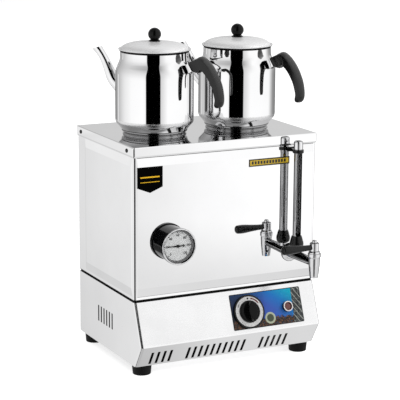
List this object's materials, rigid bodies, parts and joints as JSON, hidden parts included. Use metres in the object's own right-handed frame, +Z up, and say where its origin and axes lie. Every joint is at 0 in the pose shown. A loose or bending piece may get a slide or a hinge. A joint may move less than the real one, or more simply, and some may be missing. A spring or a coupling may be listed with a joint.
{
  "type": "tea urn",
  "caption": "Box-shaped stainless tea urn on feet, with a leaning control panel, a lever tap, a tube level gauge, a dial thermometer and lidded teapots that lift off its top.",
  "frame": {"origin": "on the surface that the feet stand on, at the centre of the whole object seen from above", "axes": "+Z up; +X to the right as a user faces the control panel; the control panel and tap face -Y"},
  "size_m": [0.4652, 0.4577, 0.7587],
  "materials": {
    "polished_steel": "mirror-polished stainless steel",
    "plain_steel": "mill-finish stainless steel",
    "black_rubber": "matt moulded rubber",
    "zinc_screws": "zinc-plated",
    "black_seal": "matt extruded seal",
    "chrome_fittings": "polished chrome plate",
    "heater_sheath": "dull heater sheath",
    "brass_nuts": "turned brass",
    "black_plastic": "moulded, slight gloss",
    "black_case": "glossy black",
    "copper_tube": "bright copper",
    "white_plastic": "matt moulded",
    "pale_plastic": "moulded, slight gloss",
    "printed_panel": "printed film in blue",
    "silver_scale": "satin",
    "red_lens": "clear red moulding",
    "white_dial": "satin paint",
    "clear_glass": "clear",
    "black_bakelite": "phenolic, satin",
    "black_paint": "matt paint",
    "black_plate": "gloss",
    "yellow_label": "printed film"
  },
  "bodies": {
    "urn": {"base_shell": "polished_steel", "bottom_pan": "plain_steel", "feet": "black_rubber", "foot_screws": "zinc_screws", "seam_gasket": "black_seal", "casing_wrapper": "polished_steel", "inner_tank": "plain_steel", "top_cover": "polished_steel", "cover_screws": "chrome_fittings", "heating_element": "heater_sheath", "heater_nuts": "brass_nuts", "thermostat_body": "black_plastic", "thermostat_capillary": "copper_tube", "terminal_block": "white_plastic", "cable_gland": "black_plastic", "gland_nut": "black_plastic", "control_panel_plate": "printed_panel", "knob_scale_ring": "silver_scale", "signal_lamp_body": "pale_plastic", "signal_lamp_lens": "red_lens", "thermometer_case": "black_case", "thermometer_bezel": "chrome_fittings", "thermometer_dial": "white_dial", "thermometer_glass": "clear_glass", "thermometer_probe": "plain_steel", "probe_nuts": "brass_nuts", "tap_escutcheon": "chrome_fittings", "tap_body": "chrome_fittings", "tap_tail_nut": "brass_nuts", "tap_bonnet": "chrome_fittings", "gauge_glass": "clear_glass", "gauge_guard": "chrome_fittings", "gauge_bottom_nut": "black_plastic", "gauge_top_cap": "chrome_fittings", "gauge_clip": "black_plastic", "name_plate": "black_plate", "level_label": "yellow_label"},
    "teapot_left": {"left_pot_body": "polished_steel", "left_pot_spout": "polished_steel", "left_handle_bracket": "polished_steel", "left_handle_grip": "black_bakelite", "left_handle_screw": "chrome_fittings"},
    "teapot_right": {"right_pot_body": "polished_steel", "right_pot_spout": "polished_steel", "right_handle_bracket": "polished_steel", "right_handle_grip": "black_bakelite", "right_handle_screw": "chrome_fittings"},
    "lid_left": {"left_lid": "polished_steel", "left_lid_knob": "black_bakelite", "left_lid_screw": "zinc_screws"},
    "lid_right": {"right_lid": "polished_steel", "right_lid_knob": "black_bakelite", "right_lid_screw": "zinc_screws"},
    "tap_lever": {"tap_plug": "brass_nuts", "tap_lever_head": "chrome_fittings", "tap_lever_grip": "black_plastic", "tap_lever_screw": "chrome_fittings"},
    "thermostat_dial": {"thermostat_knob": "black_plastic", "thermostat_shaft": "plain_steel"},
    "pointer": {"thermometer_pointer": "black_paint"}
  },
  "joints": [
    {"name": "left_teapot_lift", "type": "slide", "parent": "urn", "child": "teapot_left", "axis": [0, 0, 1], "range_m": [0, 0.25]},
    {"name": "right_teapot_lift", "type": "slide", "parent": "urn", "child": "teapot_right", "axis": [0, 0, 1], "range_m": [0, 0.25]},
    {"name": "left_lid_lift", "type": "slide", "parent": "teapot_left", "child": "lid_left", "axis": [0, 0, 1], "range_m": [0, 0.12]},
    {"name": "right_lid_lift", "type": "slide", "parent": "teapot_right", "child": "lid_right", "axis": [0, 0, 1], "range_m": [0, 0.12]},
    {"name": "tap_lever_turn", "type": "hinge", "parent": "urn", "child": "tap_lever", "pos_m": [0.163, -0.21435, 0.246], "axis": [0, 0, 1], "range_deg": [0, 90]},
    {"name": "thermostat_turn", "type": "hinge", "parent": "urn", "child": "thermostat_dial", "pos_m": [0.0479, -0.12144, 0.12167], "axis": [0, 0.9303, -0.3668], "range_deg": [0, 270]},
    {"name": "pointer_turn", "type": "hinge", "parent": "urn", "child": "pointer", "pos_m": [-0.1345, -0.12835, 0.2967], "axis": [0, 1, 0], "range_deg": [-45, 225]}
  ]
}
